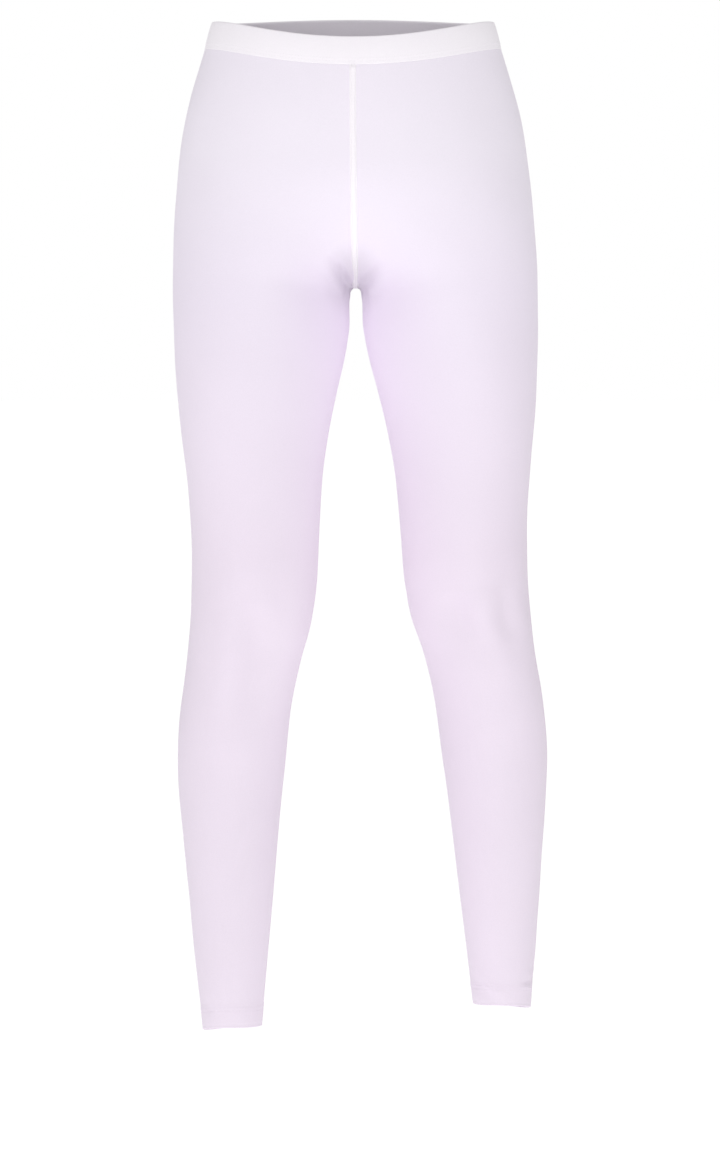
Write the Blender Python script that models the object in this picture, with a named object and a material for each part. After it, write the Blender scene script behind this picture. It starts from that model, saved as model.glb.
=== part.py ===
"""Churidar pants: plain ankle-length stretch leggings, kept in the hollow shape they are worn in.

Metres. +Z is up, the front faces -Y and the wearer's left leg is at +X. The origin is the
centre of the waist opening. Two leg panels, each cut in one piece with only an inseam, meet
at a rise seam that runs from the waistband's front, through the crotch, to its back.

Every piece follows one skin. At each height its outline is a Cassini oval, the curve that
passes smoothly from one closed loop (the hips) through a figure of eight (the crotch) to two
loops (the legs). "join" says how far the two halves have run together: 1 is an ellipse, a
third is flat across the middle, 0 is the crotch, and below it the loops stand apart.
"""

import math
from collections import namedtuple

import bmesh
import bpy
import numpy as np

# Driving sizes
CROTCH = -0.250
HEM = -0.965  # at the outer side of the ankle
HEM_INNER_RISE = 0.004  # how much higher the hem lies on the inner side of the ankle
HEM_FRONT_RISE = 0.008  # and at its front, and how much lower at its back
WAIST_FRONT_DIP = 0.018
WAIST_BACK_RISE = 0.008
WAISTBAND_HEIGHT = 0.026
WAISTBAND_THICK = 0.0028
WAISTBAND_PROUD = 0.0008  # how far the band stands out from the panels
CLOTH_THICK = 0.0012
HEM_TURN = 0.021
HEM_THICK = 0.0010
GAP = 0.0003  # between neighbouring pieces
SEAM_HALF_WIDTH = 0.0026
SEAM_THICK = 0.0010
SEAM_LIFT = 0.0004  # from the panels to the seam that lies over their joint

# Stance: each leg's hem is forward (-) or back (+) of neutral, and both lean to +X
STRIDE_RIGHT = -0.050
STRIDE_LEFT = 0.045
STRIDE_FROM = -0.100
SWAY_PER_METRE = 0.0185
SWAY_FROM = -0.050
EASE = 0.15  # height over which stride and sway set in
MIDDLE_EASE = 0.09  # distance from the mid-plane over which the stride sets in

# Mesh density
COLUMNS = 28
RISE_ROWS = 12
LEG_ROWS = 18
ROWS_UNDER_CROTCH = (0.0025, 0.010, 0.025)  # depths of the close rows there
BAND_ROWS = 2
HEM_ROWS = 2
FINE = 600  # samples along one row before it is divided evenly

# Height, outermost x, front y, y where it is widest, back y
Section = namedtuple("Section", "height outer front middle back")
SECTIONS = (
    Section(0.012, 0.1300, -0.0915, -0.005, 0.0840),
    Section(0.000, 0.1330, -0.0935, -0.005, 0.0860),
    Section(-0.035, 0.1435, -0.0990, -0.003, 0.0960),
    Section(-0.090, 0.1590, -0.1035, 0.002, 0.1140),
    Section(-0.137, 0.1670, -0.1025, 0.006, 0.1260),
    Section(-0.182, 0.1720, -0.0995, 0.008, 0.1300),
    Section(-0.220, 0.1745, -0.0970, 0.008, 0.1260),
    Section(-0.253, 0.1750, -0.0945, 0.006, 0.1160),
    Section(-0.300, 0.1740, -0.0920, 0.002, 0.0980),
    Section(-0.376, 0.1702, -0.0860, -0.001, 0.0790),
    Section(-0.453, 0.1625, -0.0750, -0.001, 0.0690),
    Section(-0.520, 0.1615, -0.0640, 0.002, 0.0640),
    Section(-0.570, 0.1650, -0.0560, 0.007, 0.0640),
    Section(-0.608, 0.1695, -0.0500, 0.012, 0.0675),
    Section(-0.647, 0.1755, -0.0440, 0.018, 0.0740),
    Section(-0.706, 0.1805, -0.0360, 0.025, 0.0800),
    Section(-0.785, 0.1762, -0.0315, 0.023, 0.0735),
    Section(-0.862, 0.1692, -0.0295, 0.017, 0.0595),
    Section(-0.920, 0.1645, -0.0270, 0.014, 0.0515),
    Section(-0.955, 0.1614, -0.0250, 0.013, 0.0500),
    Section(-0.980, 0.1600, -0.0240, 0.013, 0.0495),
)

# How far the halves have run together at the mid-plane, at the front and at the back
Join = namedtuple("Join", "height front back")
JOINS = (
    Join(0.012, 0.58, 0.50),
    Join(0.000, 0.56, 0.48),
    Join(-0.060, 0.47, 0.32),
    Join(-0.117, 0.36, 0.235),
    Join(-0.167, 0.235, 0.185),
    Join(-0.202, 0.150, 0.133),
    Join(-0.222, 0.096, 0.086),
    Join(-0.235, 0.052, 0.048),
    Join(-0.245, 0.0145, 0.0145),
    Join(-0.248, 0.0050, 0.0050),
    Join(-0.250, 0.000, 0.000),
)

# Below the crotch: innermost x of each leg
Inner = namedtuple("Inner", "height inner")
INNERS = (
    Inner(-0.2525, 0.0074),
    Inner(-0.262, 0.0063),
    Inner(-0.285, 0.0064),
    Inner(-0.300, 0.0084),
    Inner(-0.320, 0.0123),
    Inner(-0.357, 0.0215),
    Inner(-0.395, 0.0295),
    Inner(-0.434, 0.0354),
    Inner(-0.490, 0.0396),
    Inner(-0.530, 0.0423),
    Inner(-0.570, 0.0494),
    Inner(-0.608, 0.0605),
    Inner(-0.647, 0.0690),
    Inner(-0.706, 0.0763),
    Inner(-0.745, 0.0812),
    Inner(-0.824, 0.0895),
    Inner(-0.900, 0.0976),
    Inner(-0.955, 0.1033),
    Inner(-0.980, 0.1058),
)

# The same away from the mid-plane, where hips and thighs pass smoothly into each other
HIP_LEVEL = -0.190
THIGH_JOINS = (
    Join(-0.210, 0.165, 0.150),
    Join(-0.255, 0.102, 0.098),
    Join(-0.300, 0.042, 0.042),
    Join(-0.350, -0.002, -0.002),
    Join(-0.400, -0.031, -0.031),
)
MIDDLE_REACH = 14  # how closely the first of these keeps to the mid-plane

# Piece, red, green, blue, roughness
Finish = namedtuple("Finish", "red green blue roughness")
FINISHES = {
    "waistband": Finish(0.90, 0.87, 0.93, 0.80),
    "right_leg": Finish(0.87, 0.82, 0.90, 0.85),
    "left_leg": Finish(0.87, 0.82, 0.90, 0.85),
    "right_hem": Finish(0.88, 0.83, 0.91, 0.85),
    "left_hem": Finish(0.88, 0.83, 0.91, 0.85),
    "rise_seam": Finish(0.90, 0.87, 0.93, 0.80),
}


def clear_scene():
    for thing in list(bpy.data.objects):
        bpy.data.objects.remove(thing, do_unlink=True)


def smooth_slopes(step, slope):
    """The slopes at the knots of a natural cubic spline."""
    count = len(step) + 1
    system = np.zeros((count, count))
    load = np.zeros(count)
    for i in range(count):
        if i > 0:
            system[i, i - 1] += 1 / step[i - 1]
            system[i, i] += 2 / step[i - 1]
            load[i] += 3 * slope[i - 1] / step[i - 1]
        if i < count - 1:
            system[i, i + 1] += 1 / step[i]
            system[i, i] += 2 / step[i]
            load[i] += 3 * slope[i] / step[i]
    return np.linalg.solve(system, load)


def steady_slopes(step, slope):
    """Slopes that never carry the curve past its knots."""
    inside = np.zeros(len(step) - 1)
    same = slope[:-1] * slope[1:] > 0
    inside[same] = 2 * slope[:-1][same] * slope[1:][same] / (slope[:-1] + slope[1:])[same]
    return np.concatenate([slope[:1], inside, slope[-1:]])


def column(table, name, slopes=smooth_slopes):
    """A cubic curve through one column of a table, as a function of height."""
    rows = sorted(table, key=lambda row: row.height)
    knots = np.array([row.height for row in rows])
    values = np.array([getattr(row, name) for row in rows])
    step = np.diff(knots)
    at_knots = slopes(step, np.diff(values) / step)

    def value(height):
        height = np.clip(height, knots[0], knots[-1])
        i = np.clip(np.searchsorted(knots, height) - 1, 0, len(step) - 1)
        t = (height - knots[i]) / step[i]
        start = (1 + 2 * t) * (1 - t) ** 2 * values[i] + t * (1 - t) ** 2 * step[i] * at_knots[i]
        end = t * t * (3 - 2 * t) * values[i + 1] - t * t * (1 - t) * step[i] * at_knots[i + 1]
        return start + end

    return value


def parted(row):
    """The join of two legs that stand apart by twice the row's inner x."""
    return -float((row.inner / outer_at(row.height)) ** 2)


outer_at = column(SECTIONS, "outer")
front_at = column(SECTIONS, "front")
middle_at = column(SECTIONS, "middle")
back_at = column(SECTIONS, "back")
PARTED = tuple(Join(row.height, *(parted(row),) * 2) for row in INNERS)
MIDDLE_JOINS = JOINS + PARTED
BODY_JOINS = (
    tuple(row for row in JOINS if row.height > HIP_LEVEL)
    + THIGH_JOINS
    + tuple(row for row in PARTED if row.height < THIGH_JOINS[-1].height)
)
middle_front_at = column(MIDDLE_JOINS, "front", steady_slopes)
middle_back_at = column(MIDDLE_JOINS, "back", steady_slopes)
body_front_at = column(BODY_JOINS, "front")
body_back_at = column(BODY_JOINS, "back")


def skin(turn, height):
    """Points of the wearer's left half, as an N x 3 array, before the stance.

    turn runs from -pi at the front of the mid-plane (or at the inseam, below the crotch)
    through 0 at the side to +pi at its back.
    """
    outer = outer_at(height)
    middle = middle_at(height)
    at_middle = np.where(turn < 0, middle_front_at(height), middle_back_at(height))
    elsewhere = np.where(turn < 0, body_front_at(height), body_back_at(height))
    join = elsewhere + (at_middle - elsewhere) * inward(turn) ** MIDDLE_REACH
    lobe = outer**2 * (1 - join) / 2
    reach = outer**2 * (1 + join) / 2
    root = np.sqrt(lobe + reach * np.exp(1j * turn))
    reach = outer**2 * (1 + elsewhere) / 2
    narrow = reach / (outer * np.sqrt(2 * (1 - elsewhere)))
    widest = np.where(elsewhere > 1 / 3, outer * np.sqrt(np.maximum(elsewhere, 0)), narrow)
    depth = np.where(turn < 0, middle - front_at(height), back_at(height) - middle)
    x = np.maximum(root.real, GAP / 2)
    y = middle + root.imag / widest * depth
    return np.stack([x, y, height], axis=-1)


def inward(turn):
    """0 at the side and 1 at the mid-plane or inseam."""
    return (1 - np.cos(turn)) / 2


def waist_height(turn):
    """Height of the top edge: it dips at the front and rises a little at the back."""
    front = -WAIST_FRONT_DIP * inward(turn) ** 1.4
    back = WAIST_BACK_RISE * inward(turn)
    return np.where(turn < 0, front, back)


def rise_share(turn_at_middle):
    """Shares of the rise, from 1 at the waist to 0 at the crotch, at even steps along the
    curve that the mid-plane cuts."""
    top = float(waist_height(np.array([turn_at_middle]))[0]) - WAISTBAND_HEIGHT - GAP
    share = np.linspace(0, 1, FINE) ** 2
    height = CROTCH + (top - CROTCH) * share
    curve = skin(np.full(FINE, turn_at_middle), height)
    length = np.concatenate([[0], np.cumsum(np.linalg.norm(np.diff(curve, axis=0), axis=1))])

    def at(down):
        return np.interp((1 - down) * length[-1], length, share)

    return at


front_share = rise_share(-math.pi)
back_share = rise_share(math.pi)


def rise_row(down, turn):
    """Heights of a row of the hips: down is 0 under the waistband and 1 at the crotch."""
    top = waist_height(turn) - WAISTBAND_HEIGHT - GAP
    at_middle = np.where(turn < 0, front_share(down), back_share(down))
    weight = inward(turn) ** 2
    return CROTCH + (top - CROTCH) * ((1 - weight) * (1 - down) + weight * at_middle)


def hem_slant(turn):
    """How far the hem's edge stands above its height at the outer side of the ankle."""
    return HEM_INNER_RISE * inward(turn) - HEM_FRONT_RISE * np.sin(turn)


def leg_row(down, turn):
    """Heights of a row of the leg: down is 0 at the crotch and 1 at the hem."""
    return CROTCH + (HEM - CROTCH) * down + hem_slant(turn) * down**4


def band_row(down, turn):
    """Heights of a row of the waistband: down is 0 at its top edge and 1 at its lower edge."""
    return waist_height(turn) - WAISTBAND_HEIGHT * down


def hem_row(down, turn):
    """Heights of a row of the turned-up hem: down is 0 at its top edge and 1 at the fold."""
    return HEM + hem_slant(turn) + GAP + HEM_TURN * (1 - down)


def traced(row, down):
    """One row of the skin, from the front round the side to the back, divided evenly but for
    a narrow step at each end that the rise seam covers."""
    turn = math.pi * np.sin(np.linspace(-math.pi / 2, math.pi / 2, FINE))
    fine = skin(turn, row(down, turn))
    length = np.concatenate([[0], np.cumsum(np.linalg.norm(np.diff(fine, axis=0), axis=1))])
    even = np.linspace(SEAM_HALF_WIDTH, length[-1] - SEAM_HALF_WIDTH, COLUMNS - 1)
    stops = np.concatenate([[0], even, length[-1:]])
    return np.stack([np.interp(stops, length, axis) for axis in fine.T], axis=-1)


def grid_normals(grid, ring):
    """Outward unit normals of a grid of points, rows going down and columns going from
    front to back on the wearer's left half."""
    down = np.gradient(grid, axis=0)
    if ring:
        across = np.roll(grid, -1, axis=1) - np.roll(grid, 1, axis=1)
    else:
        across = np.gradient(grid, axis=1)
    normals = np.cross(across, -down)
    return normals / np.linalg.norm(normals, axis=-1, keepdims=True)


def ramp(distance):
    """0 up to zero, then curving into a straight slope of 1 within EASE."""
    distance = np.maximum(distance, 0)
    return np.where(distance < EASE, distance**2 / (2 * EASE), distance - EASE / 2)


def blend(share):
    """A smooth step from 0 to 1."""
    share = np.clip(share, 0, 1)
    return share * share * (3 - 2 * share)


def posed(points):
    """The points in the stance: one leg a little forward, one a little back, both swayed."""
    x, y, z = np.moveaxis(points, -1, 0)
    stride = np.where(x < 0, STRIDE_RIGHT, STRIDE_LEFT)
    free = 1 - (1 - blend(np.abs(x) / MIDDLE_EASE)) * (1 - blend((CROTCH - z) / EASE))
    full = ramp(STRIDE_FROM - HEM)
    y = y + stride * free * ramp(STRIDE_FROM - z) / full
    x = x + SWAY_PER_METRE * ramp(SWAY_FROM - z)
    return np.stack([x, y, z], axis=-1)


def mirrored(grid):
    """The wearer's right half."""
    return grid * np.array([-1, 1, 1])


def make_piece(name, grid, thick, outward, loop_from=None, flip=False):
    """A wall on a grid of points: rows run down and columns run across. From the row
    loop_from on, the first and last columns are one, so that the wall is a tube."""
    rows, columns = grid.shape[:2]
    mesh = bmesh.new()
    corners = []
    for j in range(rows):
        closed = loop_from is not None and j >= loop_from
        line = [mesh.verts.new(point) for point in grid[j, : columns - 1 if closed else columns]]
        if closed:
            line.append(line[0])
        corners.append(line)
    for j in range(rows - 1):
        for i in range(columns - 1):
            around = [corners[j][i], corners[j + 1][i], corners[j + 1][i + 1], corners[j][i + 1]]
            face = list(dict.fromkeys(around))
            mesh.faces.new(face[::-1] if flip else face)
    data = bpy.data.meshes.new(name)
    mesh.to_mesh(data)
    mesh.free()
    piece = bpy.data.objects.new(name, data)
    bpy.context.scene.collection.objects.link(piece)
    wall = piece.modifiers.new("Wall", "SOLIDIFY")
    wall.thickness = thick
    wall.offset = 1 if outward else -1
    data.shade_smooth()
    data.materials.append(finish(name))
    return piece


def finish(name):
    look = FINISHES[name]
    material = bpy.data.materials.new(name)
    material.use_nodes = True
    shader = material.node_tree.nodes["Principled BSDF"]
    shader.inputs["Base Color"].default_value = (look.red, look.green, look.blue, 1)
    shader.inputs["Roughness"].default_value = look.roughness
    shader.inputs["Metallic"].default_value = 0
    return material


def leg_grid():
    """The left panel's points: the rows of the rise, then those of the leg."""
    rise = [traced(rise_row, j / RISE_ROWS) for j in range(RISE_ROWS)]
    near = [depth / (CROTCH - HEM) for depth in ROWS_UNDER_CROTCH]
    leg = [traced(leg_row, down) for down in [0] + near]
    steps = np.linspace(near[-1], 1, LEG_ROWS + 1)[1:]
    return np.array(rise + leg + [traced(leg_row, down) for down in steps])


def make_leg(name, right):
    """One leg panel: open at the rise above the crotch, and a tube below it."""
    grid = leg_grid()
    if right:
        grid = mirrored(grid)
    make_piece(name, posed(grid), CLOTH_THICK, False, loop_from=RISE_ROWS, flip=right)


def make_hem(name, right):
    """The turned-up hem, a ring just inside the panel."""
    grid = np.array([traced(hem_row, j / HEM_ROWS) for j in range(HEM_ROWS + 1)])
    inset = CLOTH_THICK + GAP
    grid[:, -1] = grid[:, 0]
    normals = grid_normals(grid[:, :-1], ring=True)
    normals = np.concatenate([normals, normals[:, :1]], axis=1)
    grid = grid - inset * normals
    if right:
        grid = mirrored(grid)
    make_piece(name, posed(grid), HEM_THICK, False, loop_from=0, flip=right)


def make_waistband(name):
    """The elastic band, a ring whose middle lies on the panels' skin."""
    left = np.array([traced(band_row, j / BAND_ROWS) for j in range(BAND_ROWS + 1)])
    left[:, [0, -1], 0] = 0
    right = mirrored(left)[:, ::-1]
    ring = np.concatenate([left[:, :-1], right[:, :-1]], axis=1)
    ring = ring + WAISTBAND_PROUD * grid_normals(ring, ring=True)
    ring = np.concatenate([ring, ring[:, :1]], axis=1)
    make_piece(name, posed(ring), WAISTBAND_THICK, False, loop_from=0)


def make_rise_seam(name):
    """The raised seam over the joint of the panels, front to back, made from the panels' own
    points beside the joint, moved out."""
    panel = leg_grid()
    rise = panel[:RISE_ROWS]
    crotch = panel[RISE_ROWS, 0]
    below = panel[RISE_ROWS + 1, 0]
    beside = crotch + (below - crotch) * (SEAM_HALF_WIDTH - crotch[0]) / (below[0] - crotch[0])
    left = np.concatenate([rise[:, :2], [[crotch, beside]], rise[::-1, :-3:-1]])
    left[:, 0, 0] = 0
    strip = np.concatenate([mirrored(left)[:, :0:-1], left], axis=1)
    strip = strip + SEAM_LIFT * grid_normals(strip, ring=False)
    make_piece(name, posed(strip), SEAM_THICK, True)


def main():
    clear_scene()
    make_waistband("waistband")
    make_leg("right_leg", right=True)
    make_leg("left_leg", right=False)
    make_hem("right_hem", right=True)
    make_hem("left_hem", right=False)
    make_rise_seam("rise_seam")


main()
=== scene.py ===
"""Looks of the churidar pants: plain white stretch leggings in the hollow form they are worn in.

Metres, in the CAD part's frame: +Z up, front at -Y, the wearer's left leg at +X, the origin at
the centre of the waist opening. Every cloth piece is a thin closed shell on the form of its CAD
solid, with soft creases, seams, hem folds and rows of thread stitches on it.
"""

import math
from collections import namedtuple

import bpy
import numpy as np
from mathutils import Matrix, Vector


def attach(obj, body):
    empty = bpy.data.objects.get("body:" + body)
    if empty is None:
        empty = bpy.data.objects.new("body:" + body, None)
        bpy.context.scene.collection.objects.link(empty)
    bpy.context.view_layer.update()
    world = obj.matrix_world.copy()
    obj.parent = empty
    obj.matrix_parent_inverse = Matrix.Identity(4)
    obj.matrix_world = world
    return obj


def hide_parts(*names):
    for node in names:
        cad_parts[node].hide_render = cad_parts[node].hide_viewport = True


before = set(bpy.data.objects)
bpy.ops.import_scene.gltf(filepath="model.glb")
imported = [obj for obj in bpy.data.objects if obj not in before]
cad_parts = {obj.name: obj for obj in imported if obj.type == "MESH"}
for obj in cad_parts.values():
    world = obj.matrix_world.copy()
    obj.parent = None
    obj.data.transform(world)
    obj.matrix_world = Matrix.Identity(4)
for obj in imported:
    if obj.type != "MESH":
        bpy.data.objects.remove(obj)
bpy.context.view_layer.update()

# The part's own sizes, as in its CAD source
CROTCH = -0.250
HEM = -0.965
HEM_INNER_RISE = 0.004
HEM_FRONT_RISE = 0.008
WAIST_FRONT_DIP = 0.018
WAIST_BACK_RISE = 0.008
WAISTBAND_HEIGHT = 0.026
WAISTBAND_THICK = 0.0028
WAISTBAND_PROUD = 0.0008
CLOTH_THICK = 0.0012
HEM_TURN = 0.021
HEM_THICK = 0.0010
GAP = 0.0003
STRIDE_RIGHT = -0.050
STRIDE_LEFT = 0.045
STRIDE_FROM = -0.100
SWAY_PER_METRE = 0.0185
SWAY_FROM = -0.050
EASE = 0.15
MIDDLE_EASE = 0.09

Section = namedtuple("Section", "height outer front middle back")
SECTIONS = (
    Section(0.012, 0.1300, -0.0915, -0.005, 0.0840),
    Section(0.000, 0.1330, -0.0935, -0.005, 0.0860),
    Section(-0.035, 0.1435, -0.0990, -0.003, 0.0960),
    Section(-0.090, 0.1590, -0.1035, 0.002, 0.1140),
    Section(-0.137, 0.1670, -0.1025, 0.006, 0.1260),
    Section(-0.182, 0.1720, -0.0995, 0.008, 0.1300),
    Section(-0.220, 0.1745, -0.0970, 0.008, 0.1260),
    Section(-0.253, 0.1750, -0.0945, 0.006, 0.1160),
    Section(-0.300, 0.1740, -0.0920, 0.002, 0.0980),
    Section(-0.376, 0.1702, -0.0860, -0.001, 0.0790),
    Section(-0.453, 0.1625, -0.0750, -0.001, 0.0690),
    Section(-0.520, 0.1615, -0.0640, 0.002, 0.0640),
    Section(-0.570, 0.1650, -0.0560, 0.007, 0.0640),
    Section(-0.608, 0.1695, -0.0500, 0.012, 0.0675),
    Section(-0.647, 0.1755, -0.0440, 0.018, 0.0740),
    Section(-0.706, 0.1805, -0.0360, 0.025, 0.0800),
    Section(-0.785, 0.1762, -0.0315, 0.023, 0.0735),
    Section(-0.862, 0.1692, -0.0295, 0.017, 0.0595),
    Section(-0.920, 0.1645, -0.0270, 0.014, 0.0515),
    Section(-0.955, 0.1614, -0.0250, 0.013, 0.0500),
    Section(-0.980, 0.1600, -0.0240, 0.013, 0.0495),
)
Join = namedtuple("Join", "height front back")
JOINS = (
    Join(0.012, 0.58, 0.50),
    Join(0.000, 0.56, 0.48),
    Join(-0.060, 0.47, 0.32),
    Join(-0.117, 0.36, 0.235),
    Join(-0.167, 0.235, 0.185),
    Join(-0.202, 0.150, 0.133),
    Join(-0.222, 0.096, 0.086),
    Join(-0.235, 0.052, 0.048),
    Join(-0.245, 0.0145, 0.0145),
    Join(-0.248, 0.0050, 0.0050),
    Join(-0.250, 0.000, 0.000),
)
Inner = namedtuple("Inner", "height inner")
INNERS = (
    Inner(-0.2525, 0.0074),
    Inner(-0.262, 0.0063),
    Inner(-0.285, 0.0064),
    Inner(-0.300, 0.0084),
    Inner(-0.320, 0.0123),
    Inner(-0.357, 0.0215),
    Inner(-0.395, 0.0295),
    Inner(-0.434, 0.0354),
    Inner(-0.490, 0.0396),
    Inner(-0.530, 0.0423),
    Inner(-0.570, 0.0494),
    Inner(-0.608, 0.0605),
    Inner(-0.647, 0.0690),
    Inner(-0.706, 0.0763),
    Inner(-0.745, 0.0812),
    Inner(-0.824, 0.0895),
    Inner(-0.900, 0.0976),
    Inner(-0.955, 0.1033),
    Inner(-0.980, 0.1058),
)
HIP_LEVEL = -0.190
THIGH_JOINS = (
    Join(-0.210, 0.165, 0.150),
    Join(-0.255, 0.102, 0.098),
    Join(-0.300, 0.042, 0.042),
    Join(-0.350, -0.002, -0.002),
    Join(-0.400, -0.031, -0.031),
)
MIDDLE_REACH = 14

# Mesh density
RISE_ROWS = 84
LEG_ROWS = 172
HEM_ROWS = 26
ROLL_ROWS = 5
COLUMNS = 104  # evenly spaced ones
END_STEPS = (0, 0.0008, 0.0016, 0.0025, 0.0036, 0.0050, 0.0070, 0.0096)
FINE = 1500  # samples along one row before it is divided

# Details
TUCK = 0.0020  # how far the panels reach up inside the waistband
ROLL = 0.0012  # height over which the hem's fold rolls under
HEM_STITCHES = (0.0162, 0.0198)  # heights of the hem's two stitch rows above its edge
BAND_STITCHES = (0.0205, 0.0232)  # depths of the waistband's two stitch rows under its top
SEAM_HALF = 0.0030  # half the welt's width
SEAM_CORE = 0.0012  # half the width of its flat top
SEAM_HIGH = 0.0013
SEAM_STITCHES = 0.0011  # how far each stitch row lies from the seam's middle
PITCH = 0.0029  # from one stitch to the next
STITCH = 0.0023  # a stitch's length
THREAD = 0.00028  # its radius

# Soft creases: depth and half width of the trough, and its trail as (turn in degrees, height).
# Turn is 0 at the outer side, -90 at the front, +90 at the back and 180 at the inseam.
Crease = namedtuple("Crease", "depth width trail")
BOTH_LEGS = (
    Crease(0.0018, 0.010, ((60, -0.268), (95, -0.276), (128, -0.268))),
    Crease(0.0015, 0.006, ((48, -0.566), (88, -0.574), (135, -0.562))),
    Crease(0.0020, 0.006, ((62, -0.590), (98, -0.596), (142, -0.588))),
    Crease(0.0012, 0.005, ((40, -0.615), (80, -0.622), (112, -0.617))),
    Crease(0.0010, 0.004, ((55, -0.908), (92, -0.914), (130, -0.905))),
    Crease(0.0012, 0.004, ((70, -0.929), (105, -0.933), (150, -0.926))),
)
RIGHT_LEG = (
    Crease(0.0060, 0.017, ((-124, -0.545), (-131, -0.590), (-129, -0.655))),
    Crease(0.0014, 0.009, ((-148, -0.520), (-150, -0.560), (-140, -0.600))),
    Crease(0.0010, 0.006, ((-142, -0.765), (-128, -0.790), (-118, -0.820))),
    Crease(0.0005, 0.006, ((-25, -0.930), (-52, -0.938), (-70, -0.936))),
)
LEFT_LEG = (
    Crease(0.0046, 0.017, ((-140, -0.540), (-136, -0.562), (-126, -0.588))),
    Crease(0.0034, 0.016, ((-70, -0.535), (-78, -0.562), (-74, -0.590))),
    Crease(0.0015, 0.0032, ((-8, -0.931), (-36, -0.9335), (-60, -0.932))),
    Crease(0.0009, 0.0028, ((-4, -0.919), (-28, -0.921), (-50, -0.924))),
    Crease(0.0014, 0.006, ((-164, -0.926), (-142, -0.940), (-118, -0.956))),
)
# The same across the front near the crotch, as (distance from the mid-plane, height)
RIGHT_FRONT = (
    Crease(0.0042, 0.0042, ((0.006, -0.251), (0.011, -0.241), (0.019, -0.224))),
    Crease(0.0016, 0.0024, ((0.0094, -0.264), (0.0088, -0.255), (0.0050, -0.2495))),
)
LEFT_FRONT = (
    Crease(0.0032, 0.0044, ((0.006, -0.251), (0.012, -0.242), (0.022, -0.229))),
    Crease(0.0018, 0.0026, ((0.0098, -0.276), (0.0088, -0.256), (0.0050, -0.2495))),
)


def smooth_slopes(step, slope):
    """The slopes at the knots of a natural cubic spline."""
    count = len(step) + 1
    system = np.zeros((count, count))
    load = np.zeros(count)
    for i in range(count):
        if i > 0:
            system[i, i - 1] += 1 / step[i - 1]
            system[i, i] += 2 / step[i - 1]
            load[i] += 3 * slope[i - 1] / step[i - 1]
        if i < count - 1:
            system[i, i + 1] += 1 / step[i]
            system[i, i] += 2 / step[i]
            load[i] += 3 * slope[i] / step[i]
    return np.linalg.solve(system, load)


def steady_slopes(step, slope):
    """Slopes that never carry the curve past its knots."""
    inside = np.zeros(len(step) - 1)
    same = slope[:-1] * slope[1:] > 0
    inside[same] = 2 * slope[:-1][same] * slope[1:][same] / (slope[:-1] + slope[1:])[same]
    return np.concatenate([slope[:1], inside, slope[-1:]])


def column(table, name, slopes=smooth_slopes):
    """A cubic curve through one column of a table, as a function of height."""
    rows = sorted(table, key=lambda row: row.height)
    knots = np.array([row.height for row in rows])
    values = np.array([getattr(row, name) for row in rows])
    step = np.diff(knots)
    at_knots = slopes(step, np.diff(values) / step)

    def value(height):
        height = np.clip(height, knots[0], knots[-1])
        i = np.clip(np.searchsorted(knots, height) - 1, 0, len(step) - 1)
        t = (height - knots[i]) / step[i]
        start = (1 + 2 * t) * (1 - t) ** 2 * values[i] + t * (1 - t) ** 2 * step[i] * at_knots[i]
        end = t * t * (3 - 2 * t) * values[i + 1] - t * t * (1 - t) * step[i] * at_knots[i + 1]
        return start + end

    return value


def parted(row):
    """The join of two legs that stand apart by twice the row's inner x."""
    return -float((row.inner / outer_at(row.height)) ** 2)


outer_at = column(SECTIONS, "outer")
front_at = column(SECTIONS, "front")
middle_at = column(SECTIONS, "middle")
back_at = column(SECTIONS, "back")
inner_at = column(INNERS, "inner")
PARTED = tuple(Join(row.height, *(parted(row),) * 2) for row in INNERS)
MIDDLE_JOINS = JOINS + PARTED
BODY_JOINS = (
    tuple(row for row in JOINS if row.height > HIP_LEVEL)
    + THIGH_JOINS
    + tuple(row for row in PARTED if row.height < THIGH_JOINS[-1].height)
)
middle_front_at = column(MIDDLE_JOINS, "front", steady_slopes)
middle_back_at = column(MIDDLE_JOINS, "back", steady_slopes)
body_front_at = column(BODY_JOINS, "front")
body_back_at = column(BODY_JOINS, "back")


def skin(turn, height):
    """Points of the wearer's left half, as an N x 3 array, before the stance."""
    outer = outer_at(height)
    middle = middle_at(height)
    at_middle = np.where(turn < 0, middle_front_at(height), middle_back_at(height))
    elsewhere = np.where(turn < 0, body_front_at(height), body_back_at(height))
    join = elsewhere + (at_middle - elsewhere) * inward(turn) ** MIDDLE_REACH
    lobe = outer**2 * (1 - join) / 2
    reach = outer**2 * (1 + join) / 2
    root = np.sqrt(lobe + reach * np.exp(1j * turn))
    reach = outer**2 * (1 + elsewhere) / 2
    narrow = reach / (outer * np.sqrt(2 * (1 - elsewhere)))
    widest = np.where(elsewhere > 1 / 3, outer * np.sqrt(np.maximum(elsewhere, 0)), narrow)
    depth = np.where(turn < 0, middle - front_at(height), back_at(height) - middle)
    x = np.maximum(root.real, GAP / 2)
    y = middle + root.imag / widest * depth
    return np.stack([x, y, height], axis=-1)


def inward(turn):
    """0 at the side and 1 at the mid-plane or inseam."""
    return (1 - np.cos(turn)) / 2


def waist_height(turn):
    """Height of the top edge: it dips at the front and rises a little at the back."""
    front = -WAIST_FRONT_DIP * inward(turn) ** 1.4
    back = WAIST_BACK_RISE * inward(turn)
    return np.where(turn < 0, front, back)


def lengths(points):
    """Running length along a line of points."""
    steps = np.linalg.norm(np.diff(points, axis=0), axis=1)
    return np.concatenate([[0], np.cumsum(steps)])


def panel_top(turn):
    """Height of a panel's upper edge, hidden in the waistband."""
    return waist_height(turn) - WAISTBAND_HEIGHT + TUCK


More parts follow.
